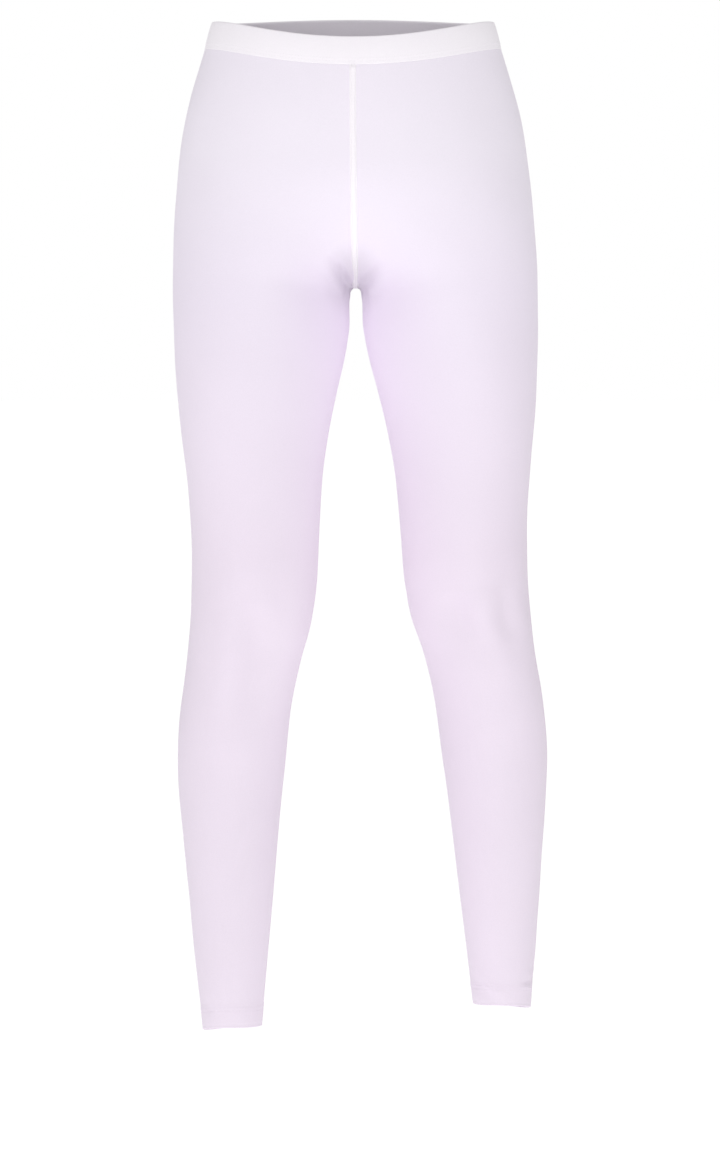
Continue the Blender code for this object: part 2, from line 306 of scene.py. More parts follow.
def rise_share(turn_at_middle):
    """Shares of the rise at even steps along the curve that the mid-plane cuts."""
    top = float(panel_top(np.array([turn_at_middle]))[0])
    share = np.linspace(0, 1, FINE) ** 2
    curve = skin(np.full(FINE, turn_at_middle), CROTCH + (top - CROTCH) * share)
    length = lengths(curve)

    def at(down):
        return np.interp((1 - down) * length[-1], length, share)

    return at


front_share = rise_share(-math.pi)
back_share = rise_share(math.pi)


def rise_row(down, turn):
    """Heights of a row of the hips: down is 0 in the waistband and 1 at the crotch."""
    at_middle = np.where(turn < 0, front_share(down), back_share(down))
    weight = inward(turn) ** 2
    share = (1 - weight) * (1 - down) + weight * at_middle
    return CROTCH + (panel_top(turn) - CROTCH) * share


def hem_slant(turn):
    """How far the hem's edge stands above its height at the outer side of the ankle."""
    return HEM_INNER_RISE * inward(turn) - HEM_FRONT_RISE * np.sin(turn)


def leg_row(down, turn):
    """Heights of a row of the leg: down is 0 at the crotch and 1 at the hem."""
    return CROTCH + (HEM - CROTCH) * down + hem_slant(turn) * down**4


def band_row(down, turn):
    """Heights of a row of the waistband: down is 0 at its top edge and 1 at its lower edge."""
    return waist_height(turn) - WAISTBAND_HEIGHT * down


def hem_row(down, turn):
    """Heights of a row of the turned-up hem: down is 0 at its top edge and 1 at the fold."""
    return HEM + hem_slant(turn) + HEM_TURN * (1 - down)


def traced(row, down, stops_for):
    """One row of the skin from front to back, as points, turns and distances along it."""
    turn = math.pi * np.sin(np.linspace(-math.pi / 2, math.pi / 2, FINE))
    fine = skin(turn, row(down, turn))
    length = lengths(fine)
    stops = stops_for(length[-1])
    points = np.stack([np.interp(stops, length, axis) for axis in fine.T], axis=-1)
    return points, np.interp(stops, length, turn), stops


def panel_stops(total):
    """Close steps beside the seams and even ones between them."""
    ends = np.array(END_STEPS)
    even = np.linspace(ends[-1], total - ends[-1], COLUMNS)
    return np.concatenate([ends[:-1], even, total - ends[-2::-1]])


def even_stops(count):
    """As panel_stops, but with count even steps."""
    return lambda total: np.linspace(0, total, count)


def ramp(distance):
    """0 up to zero, then curving into a straight slope of 1 within EASE."""
    distance = np.maximum(distance, 0)
    return np.where(distance < EASE, distance**2 / (2 * EASE), distance - EASE / 2)


def blend(share):
    """A smooth step from 0 to 1."""
    share = np.clip(share, 0, 1)
    return share * share * (3 - 2 * share)


def bump(distance, width):
    """1 at zero distance, fading smoothly over the width."""
    return np.exp(-((distance / width) ** 2))


def posed(points):
    """The points in the stance: one leg a little forward, one a little back, both swayed."""
    x, y, z = np.moveaxis(points, -1, 0)
    stride = np.where(x < 0, STRIDE_RIGHT, STRIDE_LEFT)
    free = 1 - (1 - blend(np.abs(x) / MIDDLE_EASE)) * (1 - blend((CROTCH - z) / EASE))
    full = ramp(STRIDE_FROM - HEM)
    y = y + stride * free * ramp(STRIDE_FROM - z) / full
    x = x + SWAY_PER_METRE * ramp(SWAY_FROM - z)
    return np.stack([x, y, z], axis=-1)


def mirrored(grid):
    return grid * np.array([-1, 1, 1])


def grid_normals(grid, ring_from):
    """Outward unit normals of a grid on the wearer's left half. Rows run down, columns run
    from front to back, and from row ring_from on the first and last columns are one."""
    down = np.gradient(grid, axis=0)
    across = np.gradient(grid, axis=1)
    across[ring_from:, 0] = across[ring_from:, -1] = grid[ring_from:, 1] - grid[ring_from:, -2]
    normals = np.cross(across, -down)
    return normals / np.linalg.norm(normals, axis=-1, keepdims=True)


def trail_strength(across, height, trail):
    """Distance of each point from a trail, and a strength that fades towards its ends."""
    nearest = np.full(height.shape, 1.0)
    strength = np.zeros(height.shape)
    legs = len(trail) - 1
    for i in range(legs):
        (a, za), (b, zb) = trail[i], trail[i + 1]
        run = (b - a) ** 2 + (zb - za) ** 2
        t = np.clip(((across - a) * (b - a) + (height - za) * (zb - za)) / run, 0, 1)
        apart = np.hypot(across - a - t * (b - a), height - za - t * (zb - za))
        closer = apart < nearest
        nearest = np.where(closer, apart, nearest)
        share = (i + t) / legs
        strength = np.where(closer, np.sin(math.pi * (0.06 + 0.88 * share)) ** 0.8, strength)
    return nearest, strength


def trough(crease, across, height, scale):
    """How far one crease moves the cloth out: a trough with a soft ridge on each side."""
    trail = [(a * scale, z) for a, z in crease.trail]
    apart, strength = trail_strength(across, height, trail)
    shape = 0.40 * bump(apart - 1.9 * crease.width, crease.width) - bump(apart, crease.width)
    return crease.depth * strength * shape


def creases(points, turn, right):
    """How far the creases move each point out."""
    height = points[..., 2]
    girth = np.where(height < CROTCH, outer_at(height) - inner_at(height), outer_at(height)) / 2
    moved = np.zeros(height.shape)
    for crease in BOTH_LEGS + (RIGHT_LEG if right else LEFT_LEG):
        middle = math.radians(np.mean([a for a, _ in crease.trail]))
        angle = (turn - middle + math.pi) % (2 * math.pi) - math.pi + middle
        radius = float(girth.flat[np.argmin(np.abs(height - crease.trail[1][1]))])
        moved += trough(crease, angle * radius, height, math.radians(1) * radius)
    for crease in RIGHT_FRONT if right else LEFT_FRONT:
        across = np.where(turn < 0, points[..., 0], 1.0)
        moved += trough(crease, across, height, 1)
    return moved


def unevenness(points, turn, right):
    """The slow waves of a worn cloth."""
    shift = 1.7 if right else 0.0
    height = points[..., 2]
    slow = np.sin(23 * height + 1.3 * np.sin(turn + shift) + shift)
    slow = slow * np.sin(2 * turn + 9 * height + 2 * shift)
    quick = np.sin(61 * height + 2.1 * np.cos(turn + shift)) * np.sin(3 * turn - 31 * height + shift)
    fade = blend((-0.03 - height) / 0.05) * blend((height - HEM - 0.02) / 0.05)
    return (0.0007 * slow + 0.00025 * quick) * fade * (1 - inward(turn) ** 6)


def seam_line(stops, points):
    """The inseam: a thin furrow between two low ridges, from the crotch to the hem."""
    beside = np.minimum(stops, stops[..., -1:] - stops)
    shape = 0.00030 * bump(beside - 0.0030, 0.0013) - 0.00045 * bump(beside, 0.0008)
    return shape * blend((CROTCH - 0.004 - points[..., 2]) / 0.012)


def hem_relief(above):
    """The doubled cloth at the hem: a little proud, faintly furrowed along its stitches and
    beside its fold, and rolled under at its edge."""
    doubled = 0.00030 * (1 - blend((above - HEM_TURN) / 0.003))
    furrows = sum(0.00006 * bump(above - row, 0.0009) for row in HEM_STITCHES)
    furrows = furrows + 0.00026 * bump(above - 0.0032, 0.0009)
    under = np.clip(1 - above / ROLL, 0, 1)
    return doubled - furrows - ROLL * (1 - np.sqrt(1 - under**2))


def smoothed_crotch(grid):
    """Softens the shelf where the thighs part, leaving the rise and the inseam in place."""
    height = grid[..., 2]
    edge = np.minimum(np.arange(grid.shape[1]), np.arange(grid.shape[1])[::-1])
    mask = (blend((edge - 2) / 6) * bump(height - CROTCH, 0.022))[..., None]
    for _ in range(60):
        mean = (np.roll(grid, 1, axis=0) + np.roll(grid, -1, axis=0)) / 2
        grid = grid + 0.5 * mask * (mean - grid)
    return grid


def panel(right):
    """The outer face of one leg panel, and its places along the cloth for the knit."""
    rows = [traced(rise_row, j / RISE_ROWS, panel_stops) for j in range(RISE_ROWS)]
    hem_from = 1 - (HEM_TURN + 0.006) / (CROTCH - HEM)
    roll_from = 1 - ROLL / (CROTCH - HEM)
    downs = np.concatenate(
        [
            np.linspace(0, hem_from, LEG_ROWS, endpoint=False),
            np.linspace(hem_from, roll_from, HEM_ROWS, endpoint=False),
            np.linspace(roll_from, 1, ROLL_ROWS),
        ]
    )
    rows += [traced(leg_row, down, panel_stops) for down in downs]
    points, turn, stops = (np.array(part) for part in zip(*rows))
    points = smoothed_crotch(points)
    above = points[..., 2] - HEM - hem_slant(turn)
    out = creases(points, turn, right) + unevenness(points, turn, right)
    out = out + seam_line(stops, points) + hem_relief(above)
    across = stops - np.take_along_axis(stops, np.argmin(np.abs(turn), axis=1)[:, None], axis=1)
    along = lengths(points[:, points.shape[1] // 2])
    places = np.stack([across, np.broadcast_to(-along[:, None], across.shape)], axis=-1)
    pose = posed(mirrored(points) if right else points)
    side = -1 if right else 1
    pose = pose + side * out[..., None] * grid_normals(pose, RISE_ROWS)
    return pose, places


def shell(name, outer, inner, places, ring_from=None, ring_rows=False, flip=False):
    """A closed thin piece between two grids of points. From row ring_from on, the first and
    last columns are one; ring_rows joins the last row back to the first instead of a rim."""
    rows, columns = outer.shape[:2]
    number = np.arange(rows * columns).reshape(rows, columns)
    if ring_from is not None:
        number[ring_from:, -1] = number[ring_from:, 0]
    faces, corners = [], []

    def add(a, b, at, turned):
        quads = np.stack([a[:-1, :-1], a[1:, :-1], a[1:, 1:], a[:-1, 1:]], axis=-1) + b
        where = np.stack([at[:-1, :-1], at[1:, :-1], at[1:, 1:], at[:-1, 1:]], axis=-2)
        quads, where = quads.reshape(-1, 4), where.reshape(-1, 4, 2)
        if turned:
            quads, where = quads[:, ::-1], where[:, ::-1]
        faces.append(quads)
        corners.append(where)

    add(number, 0, places, flip)
    add(number, rows * columns, places, not flip)
    rims = [(number[0], places[0], True), (number[-1], places[-1], False)]
    if ring_from is None or ring_from > 0:
        upper = rows if ring_from is None else ring_from + 1
        rims += [(number[:upper, 0], places[:upper, 0], False)]
        rims += [(number[:upper, -1], places[:upper, -1], True)]
    for line, at, turned in rims:
        both = np.stack([line, line + rows * columns])
        add(both, 0, np.stack([at, at]), turned != flip)
    faces, corners = np.concatenate(faces), np.concatenate(corners)
    keep = np.array([len(set(face)) == 4 for face in faces.tolist()])
    points = np.concatenate([outer.reshape(-1, 3), inner.reshape(-1, 3)])
    return mesh_piece(name, points, faces[keep], corners[keep])


def mesh_piece(name, points, faces, corners=None):
    """A smooth piece in the scene, without the points that no face uses."""
    used, faces = np.unique(faces, return_inverse=True)
    faces = faces.reshape(-1, 4)
    data = bpy.data.meshes.new(name)
    data.from_pydata(points[used].tolist(), [], faces.tolist())
    if corners is not None:
        layer = data.uv_layers.new(name="UVMap")
        layer.data.foreach_set("uv", corners.reshape(-1).astype(np.float32))
    data.shade_smooth()
    piece = bpy.data.objects.new(name, data)
    bpy.context.scene.collection.objects.link(piece)
    return piece


def loop_piece(name, profile_rows, places):
    """A piece with a closed profile carried round a ring: profile_rows x ring x 3 points."""
    rows, columns = profile_rows.shape[:2]
    number = np.arange(rows * columns).reshape(rows, columns)
    ahead = np.roll(number, -1, axis=0)
    quads = np.stack(
        [number, ahead, np.roll(ahead, -1, axis=1), np.roll(number, -1, axis=1)], axis=-1
    ).reshape(-1, 4)
    u, v = places
    after = np.append(u[1:], 2 * u[-1] - u[-2])
    below = np.append(v[1:], 2 * v[-1] - v[-2])
    grid = np.zeros((rows, columns, 4, 2))
    grid[..., 0, 0] = grid[..., 1, 0] = u
    grid[..., 2, 0] = grid[..., 3, 0] = after
    grid[..., 0, 1] = grid[..., 3, 1] = v[:, None]
    grid[..., 1, 1] = grid[..., 2, 1] = below[:, None]
    return mesh_piece(name, profile_rows.reshape(-1, 3), quads, grid.reshape(-1, 4, 2))


def stitches(line, normals, closed):
    """A row of short thread stitches along a line of points, each dipping in at its ends."""
    if closed:
        line = np.concatenate([line, line[:1]])
        normals = np.concatenate([normals, normals[:1]])
    length = lengths(line)
    count = int(length[-1] / PITCH)
    starts = (np.arange(count) + 0.15) * length[-1] / count
    share = np.linspace(0, 1, 5)
    thick = THREAD * np.array([0.35, 0.95, 1.0, 0.95, 0.35])
    lift = THREAD * np.array([-0.9, 0.35, 0.55, 0.35, -0.9])
    at = starts[:, None] + share * STITCH

    def along(values, where):
        return np.stack([np.interp(where, length, axis) for axis in values.T], axis=-1)

    centre = along(line, at)
    ahead = along(line, at + 0.0004) - along(line, at - 0.0004)
    ahead = ahead / np.linalg.norm(ahead, axis=-1, keepdims=True)
    out = along(normals, at)
    out = out / np.linalg.norm(out, axis=-1, keepdims=True)
    beside = np.cross(ahead, out)
    centre = centre + lift[None, :, None] * out
    angle = np.arange(6) * math.pi / 3
    ring = (
        np.cos(angle)[None, None, :, None] * beside[:, :, None]
        + np.sin(angle)[None, None, :, None] * out[:, :, None]
    )
    points = centre[:, :, None] + thick[None, :, None, None] * ring
    number = np.arange(count * 5 * 6).reshape(count, 5, 6)
    after = np.roll(number, -1, axis=2)
    quads = np.stack([number[:, :-1], after[:, :-1], after[:, 1:], number[:, 1:]], axis=-1)
    ends = [number[:, 0, [0, 5, 4, 3]], number[:, 0, [0, 3, 2, 1]]]
    ends += [number[:, 4, [0, 1, 2, 3]], number[:, 4, [0, 3, 4, 5]]]
    faces = np.concatenate([quads.reshape(-1, 4)] + ends)
    return points.reshape(-1, 3), faces


def stitch_rows(name, lines, closed=True):
    """Several rows of stitches as one piece."""
    points, faces, start = [], [], 0
    for line, normals in lines:
        own, quads = stitches(line, normals, closed)
        points.append(own)
        faces.append(quads + start)
        start += len(own)
    return mesh_piece(name, np.concatenate(points), np.concatenate(faces))


def make_leg(name, right):
    """One leg's panel, closed round the leg and open at the hips along the rise."""
    outer, places = panel(right)
    side = -1 if right else 1
    inner = outer - side * CLOTH_THICK * grid_normals(outer, RISE_ROWS)
    return shell(name, outer, inner, places, ring_from=RISE_ROWS, flip=right)


def hem_ring(right, depth, count=220):
    """Points and outward normals once round the hem, depth above its edge, creased as the
    panel is there."""
    rows = [traced(hem_row, 1 - h / HEM_TURN, even_stops(count)) for h in (depth + 0.001, depth)]
    points, turn, _ = (np.array(part) for part in zip(*rows))
    grid = posed(mirrored(points) if right else points)
    normals = grid_normals(grid, 0) * (-1 if right else 1)
    grid = grid + creases(points, turn, right)[..., None] * normals
    return grid[1, :-1], normals[1, :-1]


def make_hem(name, right):
    """The turned-up hem, a ring inside the panel whose lower edge meets the panel's fold."""
    near = -CLOTH_THICK
    far = -CLOTH_THICK - GAP - HEM_THICK
    middle = (near + far) / 2
    profile = [(near, 0.0016), (near, 0.0006), (near - 0.0002, 0.0001), (middle, 0.0)]
    profile += [(far + 0.0002, 0.0002), (far, 0.0008)]
    profile += [(far, h) for h in np.linspace(0.003, HEM_TURN - 0.0005, 8)]
    profile += [(middle, HEM_TURN)]
    profile += [(near - GAP / 2, h) for h in np.linspace(HEM_TURN - 0.0005, 0.003, 8)]
    rows = []
    for out, above in profile:
        line, normals = hem_ring(right, above)
        rows.append(line + out * normals)
    rows = np.array(rows)
    if right:
        rows = rows[:, ::-1]
    around = lengths(rows[0])
    down = lengths(np.array([(o, h, 0) for o, h in profile]))
    return loop_piece(name, rows[::-1], (around, down[::-1]))


def make_hem_stitches(name, right):
    lines = []
    for above in HEM_STITCHES:
        line, normals = hem_ring(right, above)
        lines.append((line + 0.00022 * normals, normals))
    return stitch_rows(name, lines)


def waist_ring(depth, count=190):
    """Points and outward normals once round the waist, depth below its top edge."""
    rows = []
    for down in (depth, depth + 0.001):
        left = traced(band_row, down / WAISTBAND_HEIGHT, even_stops(count))[0]
        left[[0, -1], 0] = 0
        rows.append(np.concatenate([left[:-1], mirrored(left)[:0:-1]]))
    grid = np.array(rows)
    grid = np.concatenate([grid, grid[:, :1]], axis=1)
    normals = grid_normals(grid, 0)
    return posed(grid)[0, :-1], normals[0, :-1]


def band_out(down):
    """How far the casing stands outside the panels: a little full, and flat at its lower edge."""
    full = 0.00035 * math.sin(math.pi * down / 0.0195) if down < 0.0195 else 0
    furrow = sum(0.00005 * bump(down - row, 0.0009) for row in BAND_STITCHES)
    return WAISTBAND_PROUD + full - furrow - 0.0006 * blend((down - 0.0185) / 0.0070)


def make_waistband(name):
    """A folded elastic casing: rounded at its top and softly rippled."""
    out, back = WAISTBAND_PROUD, WAISTBAND_PROUD - WAISTBAND_THICK
    middle = (out + back) / 2
    half = WAISTBAND_THICK / 2
    profile = []
    for angle in np.linspace(math.pi / 2, 0, 7):
        profile.append((middle + half * math.cos(angle), half * (1 - math.sin(angle))))
    profile += [(band_out(down), down) for down in np.linspace(0.003, WAISTBAND_HEIGHT - 0.0004, 24)]
    profile += [(out - 0.0009, WAISTBAND_HEIGHT)]
    profile += [(back + 0.0006, WAISTBAND_HEIGHT), (back, WAISTBAND_HEIGHT - 0.0008)]
    profile += [(back, down) for down in np.linspace(WAISTBAND_HEIGHT - 0.003, 0.003, 12)]
    for angle in np.linspace(math.pi, math.pi / 2, 6)[:-1]:
        profile.append((middle + half * math.cos(angle), half * (1 - math.sin(angle))))
    rows = []
    for n, down in profile:
        line, normals = waist_ring(down)
        around = lengths(np.concatenate([line, line[:1]]))[:-1]
        wave = np.sin(880 * around + 2.2 * np.sin(37 * around)) * (0.6 + 0.4 * np.sin(61 * around))
        near_stitches = 0.35 + 0.65 * blend((down - 0.010) / 0.012)
        ripple = 0.00009 * wave * near_stitches if n > middle else 0 * wave
        rows.append(line + (n + ripple)[:, None] * normals)
    rows = np.array(rows)
    down = lengths(np.array([(n, d, 0) for n, d in profile]))
    return loop_piece(name, rows, (lengths(rows[0]), down))


def make_band_stitches(name):
    lines = []
    for depth in BAND_STITCHES:
        line, normals = waist_ring(depth)
        lines.append((line + (band_out(depth) - 0.0001) * normals, normals))
    return stitch_rows(name, lines)


def seam_strip(half, steps):
    """The skin beside the mid-plane, from the waistband's front through the crotch to its
    back, as rows across the seam. Also each column's signed distance from the middle."""
    beside = np.linspace(0, half, steps)
    rows = [traced(rise_row, j / RISE_ROWS, lambda total: np.append(beside, total - beside))
            for j in range(RISE_ROWS)]
    points = np.array([row[0] for row in rows])
    front, back = points[:, :steps], points[:, steps:]
    leg = np.array([skin(np.array([-math.pi]), np.array([h]))[0]
                    for h in np.linspace(CROTCH, CROTCH - 3 * half, 60)])
    leg[0, 0] = 0
    length = lengths(leg)
    crotch = np.stack([np.interp(beside, length, axis) for axis in leg.T], axis=-1)
    left = np.concatenate([front, crotch[None], back[::-1]])
    left[:, 0, 0] = 0
    strip = np.concatenate([mirrored(left)[:, :0:-1], left], axis=1)
    return strip, np.concatenate([-beside[:0:-1], beside])


def resampled(grid, spacing):
    """The grid with its rows at even steps along its middle column."""
    length = lengths(grid[:, grid.shape[1] // 2])
    even = np.linspace(0, length[-1], int(length[-1] / spacing))
    flat = grid.reshape(len(grid), -1)
    fine = np.stack([np.interp(even, length, line) for line in flat.T], axis=-1)
    return fine.reshape(len(even), *grid.shape[1:]), even


def softened(grid, times):
    """Rounds the corners that straight steps between rows leave."""
    for _ in range(times):
        grid[1:-1] = (grid[:-2] + 2 * grid[1:-1] + grid[2:]) / 4
    return grid


def rise_profile(across, along, total):
    """Height of the welt above the panels: a flat core with sloping sides, its line a little
    uneven, and a fuller knot where it meets the waistband."""
    from_end = np.minimum(along, total - along)
    knot = bump(from_end - 0.0055, 0.0025)
    tucked = blend((from_end - 0.0019) / 0.0022)
    wander = 0.00035 * np.sin(95 * along) + 0.0002 * np.sin(263 * along + 1)
    core = SEAM_CORE * (1 + 0.7 * knot)
    slope = blend((SEAM_HALF - np.abs(across - wander)) / (SEAM_HALF - core))
    return 0.0001 + (SEAM_HIGH + 0.0003 * knot) * slope * tucked


def rise_strip(half, steps, spacing):
    """The seam's strip in the stance, its outward normals, and its columns' and rows' places."""
    strip, across = seam_strip(half, steps)
    strip, along = resampled(strip, spacing)
    strip = softened(strip, 3)
    return posed(strip), grid_normals(strip, len(strip)), across, along


def cloth_places(across, along):
    return np.stack(np.broadcast_arrays(across[None, :], -along[:, None]), axis=-1)


def make_rise_seam(name):
    """The raised welt outside, from the waistband's front through the crotch to its back."""
    strip, normals, across, along = rise_strip(SEAM_HALF, 12, 0.0016)
    high = rise_profile(across[None, :], along[:, None], along[-1])
    outer = strip + high[..., None] * normals
    return shell(name, outer, strip - 0.0001 * normals, cloth_places(across, along))


def make_rise_stitches(name):
    strip, normals, across, along = rise_strip(SEAM_HALF, 12, 0.0016)
    lines = []
    for side in (-1, 1):
        at = np.argmin(np.abs(across - side * SEAM_STITCHES))
        high = rise_profile(across[at], along, along[-1])[:, None] - 0.0002
        lines.append((strip[:, at] + high * normals[:, at], normals[:, at]))
    return stitch_rows(name, lines, closed=False)


def make_inner_allowance(name):
    """The seam's turned edges inside the pants, which cover the joint of the panels."""
    half = 0.0032
    strip, normals, across, along = rise_strip(half, 6, 0.0030)
    flat = 0.0004 * blend((half - np.abs(across)) / 0.0010)
    outer = strip - (CLOTH_THICK + 0.0001) * normals
    inner = strip - (CLOTH_THICK + 0.0004 + flat[None, :, None]) * normals
    return shell(name, outer, inner, cloth_places(across, along))


class Graph:
    """Builds one material's nodes."""

    def __init__(self, name):
        self.material = bpy.data.materials.new(name)
        self.material.use_nodes = True
        self.nodes = self.material.node_tree.nodes
        self.links = self.material.node_tree.links
        self.shader = self.nodes["Principled BSDF"]

    def node(self, kind, inputs=(), **settings):
        made = self.nodes.new(kind)
        for key, value in settings.items():
            setattr(made, key, value)
        for socket, value in dict(inputs).items():
            if isinstance(value, bpy.types.NodeSocket):
                self.links.new(value, made.inputs[socket])
            else:
                made.inputs[socket].default_value = value
        return made

    def math(self, operation, *values):
        return self.node("ShaderNodeMath", enumerate(values), operation=operation).outputs[0]

    def ramp(self, value, stops):
        made = self.node("ShaderNodeValToRGB", {"Fac": value})
        elements = made.color_ramp.elements
        while len(elements) < len(stops):
            elements.new(0.5)
        for element, (position, colour) in zip(elements, stops):
            element.position = position
            element.color = (*colour, 1)
        return made.outputs["Color"]

    def mix(self, factor, a, b, blend_type="MIX"):
        made = self.node("ShaderNodeMix", {0: factor}, data_type="RGBA", blend_type=blend_type)
        for socket, value in ((made.inputs[6], a), (made.inputs[7], b)):
            if isinstance(value, bpy.types.NodeSocket):
                self.links.new(value, socket)
            else:
                socket.default_value = (*value, 1)
        return made.outputs[2]


def knit_height(graph, wale, course):
    """Rows of the small V stitches of a fine jersey, from the cloth's own places."""
    places = graph.node("ShaderNodeUVMap").outputs["UV"]
    split = graph.node("ShaderNodeSeparateXYZ", {0: places})
    u, v = split.outputs[0], split.outputs[1]
    leg = graph.math("SUBTRACT", graph.math("FRACT", graph.math("DIVIDE", u, wale)), 0.5)
    leg = graph.math("ABSOLUTE", leg)
    row = graph.math("ADD", graph.math("DIVIDE", v, course), graph.math("MULTIPLY", leg, 1.1))
    loop = graph.math("ABSOLUTE", graph.math("SUBTRACT", graph.math("FRACT", row), 0.5))
    rib = graph.math("MULTIPLY", graph.math("MULTIPLY", leg, leg), -2.6)
    return graph.math("ADD", rib, graph.math("MULTIPLY", loop, -0.7))


def painted_crotch_shade(graph, where):
    """Painted shade: a little less than 1 in the fold of the crotch, and 1 elsewhere."""
    settings = {0: where, 1: (45, 0, 36), 2: (0, 0, 36 * 0.243)}
    apart = graph.node("ShaderNodeVectorMath", settings, operation="MULTIPLY_ADD").outputs[0]
    apart = graph.node("ShaderNodeVectorMath", {0: apart}, operation="LENGTH").outputs["Value"]
    settings = {0: apart, 1: 0.15, 2: 1.5, 3: 0.80, 4: 1.0}
    fold = graph.node("ShaderNodeMapRange", settings, interpolation_type="SMOOTHSTEP")
    return fold.outputs[0]


def painted_inseam_light(graph, where):
    """A little more than 1 along the inner thighs, as the photo's light is more even there."""
    # Painted light: lifts the colour along the inner thighs below the crotch, where shade falls
    # between the legs.
    place = graph.node("ShaderNodeSeparateXYZ", {0: where}).outputs
    settings = {0: graph.math("ABSOLUTE", place[0]), 1: 0.100, 2: 0.010}
    near = graph.node("ShaderNodeMapRange", settings, interpolation_type="SMOOTHSTEP").outputs[0]
    settings = {0: place[2], 1: -0.235, 2: -0.290}
    below = graph.node("ShaderNodeMapRange", settings, interpolation_type="SMOOTHSTEP").outputs[0]
    return graph.math("MULTIPLY_ADD", graph.math("MULTIPLY", near, below), 0.065, 1.0)


def cloth_material(name, colours, wale, course, depth, roughness):
    """A fine cotton jersey with a little stretch yarn in it. colours go from hem to waist."""
    graph = Graph(name)
    where = graph.node("ShaderNodeTexCoord").outputs["Object"]
    height = graph.node("ShaderNodeSeparateXYZ", {0: where}).outputs[2]
    share = graph.math("ADD", height, 1.0)
    colour = graph.ramp(share, colours)
    cloudy = graph.node("ShaderNodeTexNoise", {"Vector": where, "Scale": 9.0, "Detail": 2.0})
    cloudy = graph.math("MULTIPLY_ADD", cloudy.outputs["Fac"], 0.05, 0.975)
    fuzz = graph.node("ShaderNodeTexNoise", {"Vector": where, "Scale": 900.0, "Detail": 3.0})
    speck = graph.math("MULTIPLY_ADD", fuzz.outputs["Fac"], 0.07, 0.965)
    shade = graph.math("MULTIPLY", cloudy, speck)
    # Painted shade: the cloth's colour is darkened in the fold of the crotch.
    shade = graph.math("MULTIPLY", shade, painted_crotch_shade(graph, where))
    # Painted light: the cloth's colour is lightened along the inner thighs.
    shade = graph.math("MULTIPLY", shade, painted_inseam_light(graph, where))
    grey = graph.node("ShaderNodeCombineColor", {0: shade, 1: shade, 2: shade}).outputs[0]
    graph.links.new(graph.mix(1.0, colour, grey, "MULTIPLY"), graph.shader.inputs["Base Color"])
    rough = graph.math("MULTIPLY_ADD", fuzz.outputs["Fac"], 0.10, roughness - 0.05)
    graph.links.new(rough, graph.shader.inputs["Roughness"])
    relief = graph.math("MULTIPLY_ADD", fuzz.outputs["Fac"], 0.5, knit_height(graph, wale, course))
    raised = graph.node("ShaderNodeBump", {"Height": relief, "Strength": 0.55, "Distance": depth})
    graph.links.new(raised.outputs[0], graph.shader.inputs["Normal"])
    graph.shader.inputs["Sheen Weight"].default_value = 0.12
    graph.shader.inputs["Sheen Roughness"].default_value = 0.45
    graph.shader.inputs["Specular IOR Level"].default_value = 0.25
    return graph.material


def thread_material(name, colour):
    """Matte spun thread, twisted along its length."""
    graph = Graph(name)
    where = graph.node("ShaderNodeTexCoord").outputs["Object"]
    twist = graph.node("ShaderNodeTexWave", {"Vector": where, "Scale": 900.0, "Distortion": 3.0})
    tone = graph.math("MULTIPLY_ADD", twist.outputs["Fac"], 0.06, 0.95)
    grey = graph.node("ShaderNodeCombineColor", {0: tone, 1: tone, 2: tone}).outputs[0]
    graph.links.new(graph.mix(1.0, colour, grey, "MULTIPLY"), graph.shader.inputs["Base Color"])
    raised = graph.node(
        "ShaderNodeBump", {"Height": twist.outputs["Fac"], "Strength": 0.4, "Distance": 0.00006}
    )
    graph.links.new(raised.outputs[0], graph.shader.inputs["Normal"])
    graph.shader.inputs["Roughness"].default_value = 0.6
    return graph.material


# Colours by height: 0 is 1 m below the waist and 1 is at it
PANEL_COLOURS = (
    (0.04, (0.885, 0.795, 0.905)),
    (0.25, (0.860, 0.770, 0.880)),
    (0.50, (0.850, 0.757, 0.870)),
    (0.75, (0.880, 0.808, 0.922)),
    (0.88, (0.910, 0.855, 0.945)),
)
BAND_COLOURS = ((0.9, (0.97, 0.93, 0.98)), (1.0, (0.97, 0.93, 0.98)))
SEAM_COLOURS = ((0.75, (0.98, 0.94, 0.985)), (1.0, (0.98, 0.94, 0.985)))
HEM_COLOURS = ((0.0, (0.895, 0.805, 0.915)), (0.1, (0.895, 0.805, 0.915)))


def build_cloth():
    """Every piece with its material, on the CAD's one body."""
    panels = cloth_material("white_jersey", PANEL_COLOURS, 0.0010, 0.0008, 0.00012, 0.86)
    band = cloth_material("band_jersey", BAND_COLOURS, 0.0011, 0.0008, 0.00014, 0.82)
    seam = cloth_material("seam_cover", SEAM_COLOURS, 0.0008, 0.0012, 0.00010, 0.78)
    hems = cloth_material("hem_jersey", HEM_COLOURS, 0.0010, 0.0008, 0.00012, 0.86)
    thread = thread_material("white_thread", (0.97, 0.93, 0.98))
    hem_thread = thread_material("hem_thread", (0.895, 0.810, 0.915))
    made = {}

    def add(piece, material, slot, *nodes):
        piece.data.materials.append(material)
        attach(piece, "root")
        if nodes:
            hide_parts(*nodes)
        made[piece.name] = piece

    add(make_waistband("elastic_waistband"), band, "waistband", "waistband")
    add(make_band_stitches("waistband_stitches"), thread, "waistband")
    add(make_leg("right_leg_panel", True), panels, "panels", "right_leg")
    add(make_leg("left_leg_panel", False), panels, "panels", "left_leg")
    add(make_hem("right_turned_hem", True), hems, "hems", "right_hem")
    add(make_hem("left_turned_hem", False), hems, "hems", "left_hem")
    add(make_hem_stitches("right_hem_stitches", True), hem_thread, "hems")
    add(make_hem_stitches("left_hem_stitches", False), hem_thread, "hems")
    add(make_rise_seam("raised_rise_seam"), seam, "seam", "rise_seam")
    add(make_rise_stitches("rise_seam_stitches"), thread, "seam")
    add(make_inner_allowance("rise_seam_allowance"), panels, "seam")
    return made


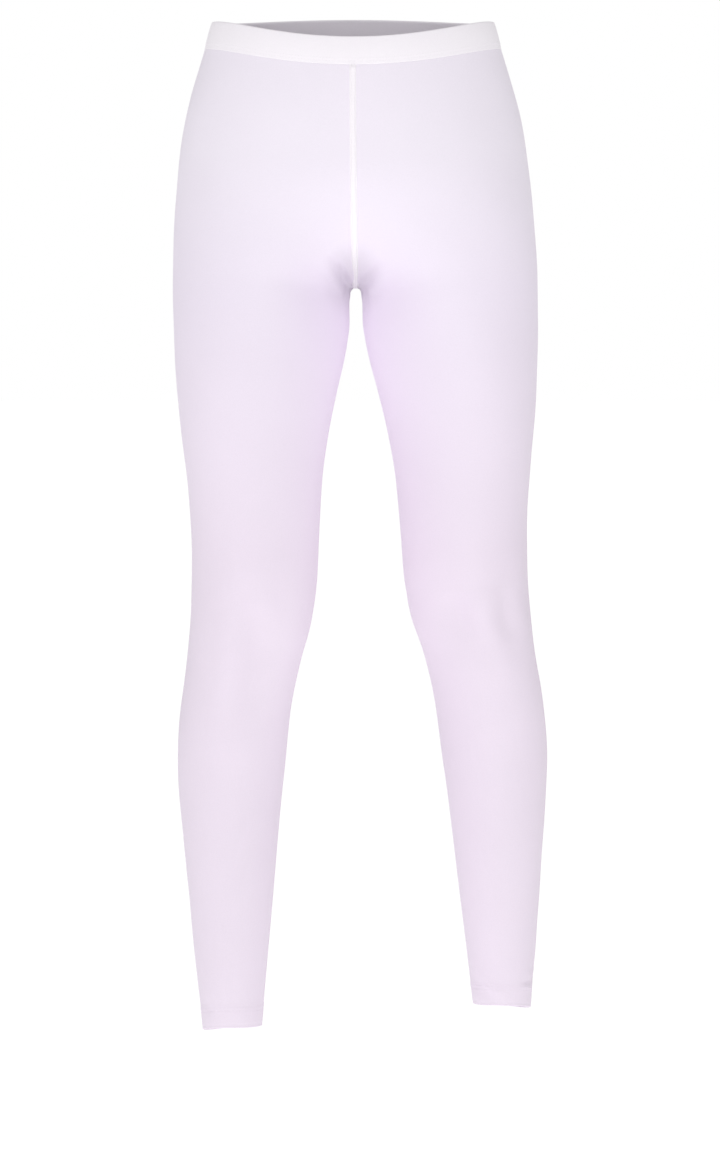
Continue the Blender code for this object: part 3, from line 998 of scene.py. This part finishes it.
def build_floor():
    """A plain pale floor a little under the hems."""
    reach, height = 14.0, -1.045
    corners = [(-reach, -reach, height), (reach, -reach, height)]
    corners += [(reach, reach, height), (-reach, reach, height)]
    data = bpy.data.meshes.new("floor")
    data.from_pydata(corners, [], [(0, 1, 2, 3)])
    floor = bpy.data.objects.new("floor", data)
    bpy.context.scene.collection.objects.link(floor)
    graph = Graph("pale_floor")
    where = graph.node("ShaderNodeTexCoord").outputs["Object"]
    grain = graph.node("ShaderNodeTexNoise", {"Vector": where, "Scale": 40.0, "Detail": 3.0})
    tone = graph.ramp(grain.outputs["Fac"], ((0.3, (0.93, 0.93, 0.93)), (0.7, (0.95, 0.95, 0.95))))
    graph.links.new(tone, graph.shader.inputs["Base Color"])
    graph.shader.inputs["Roughness"].default_value = 0.9
    graph.shader.inputs["Specular IOR Level"].default_value = 0.1
    graph.shader.inputs["Emission Color"].default_value = (1, 1, 1, 1)
    graph.shader.inputs["Emission Strength"].default_value = FLOOR_GLOW
    data.materials.append(graph.material)


ROOM_LIGHT = 0.57  # what the white room gives the pants; seen directly, it is full white
FLOOR_GLOW = 0.50  # added so that the floor, too, is seen as white


def aim(thing, target):
    direction = Vector(target) - thing.location
    thing.rotation_mode = "QUATERNION"
    thing.rotation_quaternion = direction.to_track_quat("-Z", "Y")


def add_softbox(name, place, target, size, watts):
    light = bpy.data.lights.new(name, "AREA")
    light.shape = "DISK"
    light.size = size
    light.energy = watts
    lamp = bpy.data.objects.new(name, light)
    lamp.location = place
    bpy.context.scene.collection.objects.link(lamp)
    aim(lamp, target)


def light_scene():
    """A bright white room and two large soft lights in front, the stronger high on the left."""
    world = bpy.data.worlds.new("white_room")
    bpy.context.scene.world = world
    world.use_nodes = True
    background = world.node_tree.nodes["Background"]
    background.inputs["Color"].default_value = (1, 1, 1, 1)
    seen = world.node_tree.nodes.new("ShaderNodeLightPath").outputs["Is Camera Ray"]
    strength = world.node_tree.nodes.new("ShaderNodeMapRange")
    strength.inputs["To Min"].default_value = ROOM_LIGHT
    world.node_tree.links.new(seen, strength.inputs["Value"])
    world.node_tree.links.new(strength.outputs["Result"], background.inputs["Strength"])
    add_softbox("key", (-0.75, -3.3, 0.8), (0, 0, -0.45), 2.2, 17)
    add_softbox("low_fill", (0.2, -3.2, -0.8), (0, 0, -0.4), 1.2, 8)
    bpy.context.scene.view_settings.view_transform = "Standard"


def add_camera():
    """Level with the hips, a little over three metres in front, looking slightly down."""
    data = bpy.data.cameras.new("camera")
    data.lens = 105.33
    data.sensor_width = 36.0
    camera = bpy.data.objects.new("camera", data)
    camera.location = (0.0066, -3.25, -0.20)
    camera.rotation_euler = (math.radians(90 - 5.80), 0, 0)
    bpy.context.scene.collection.objects.link(camera)
    bpy.context.scene.camera = camera


build_cloth()
build_floor()
light_scene()
add_camera()
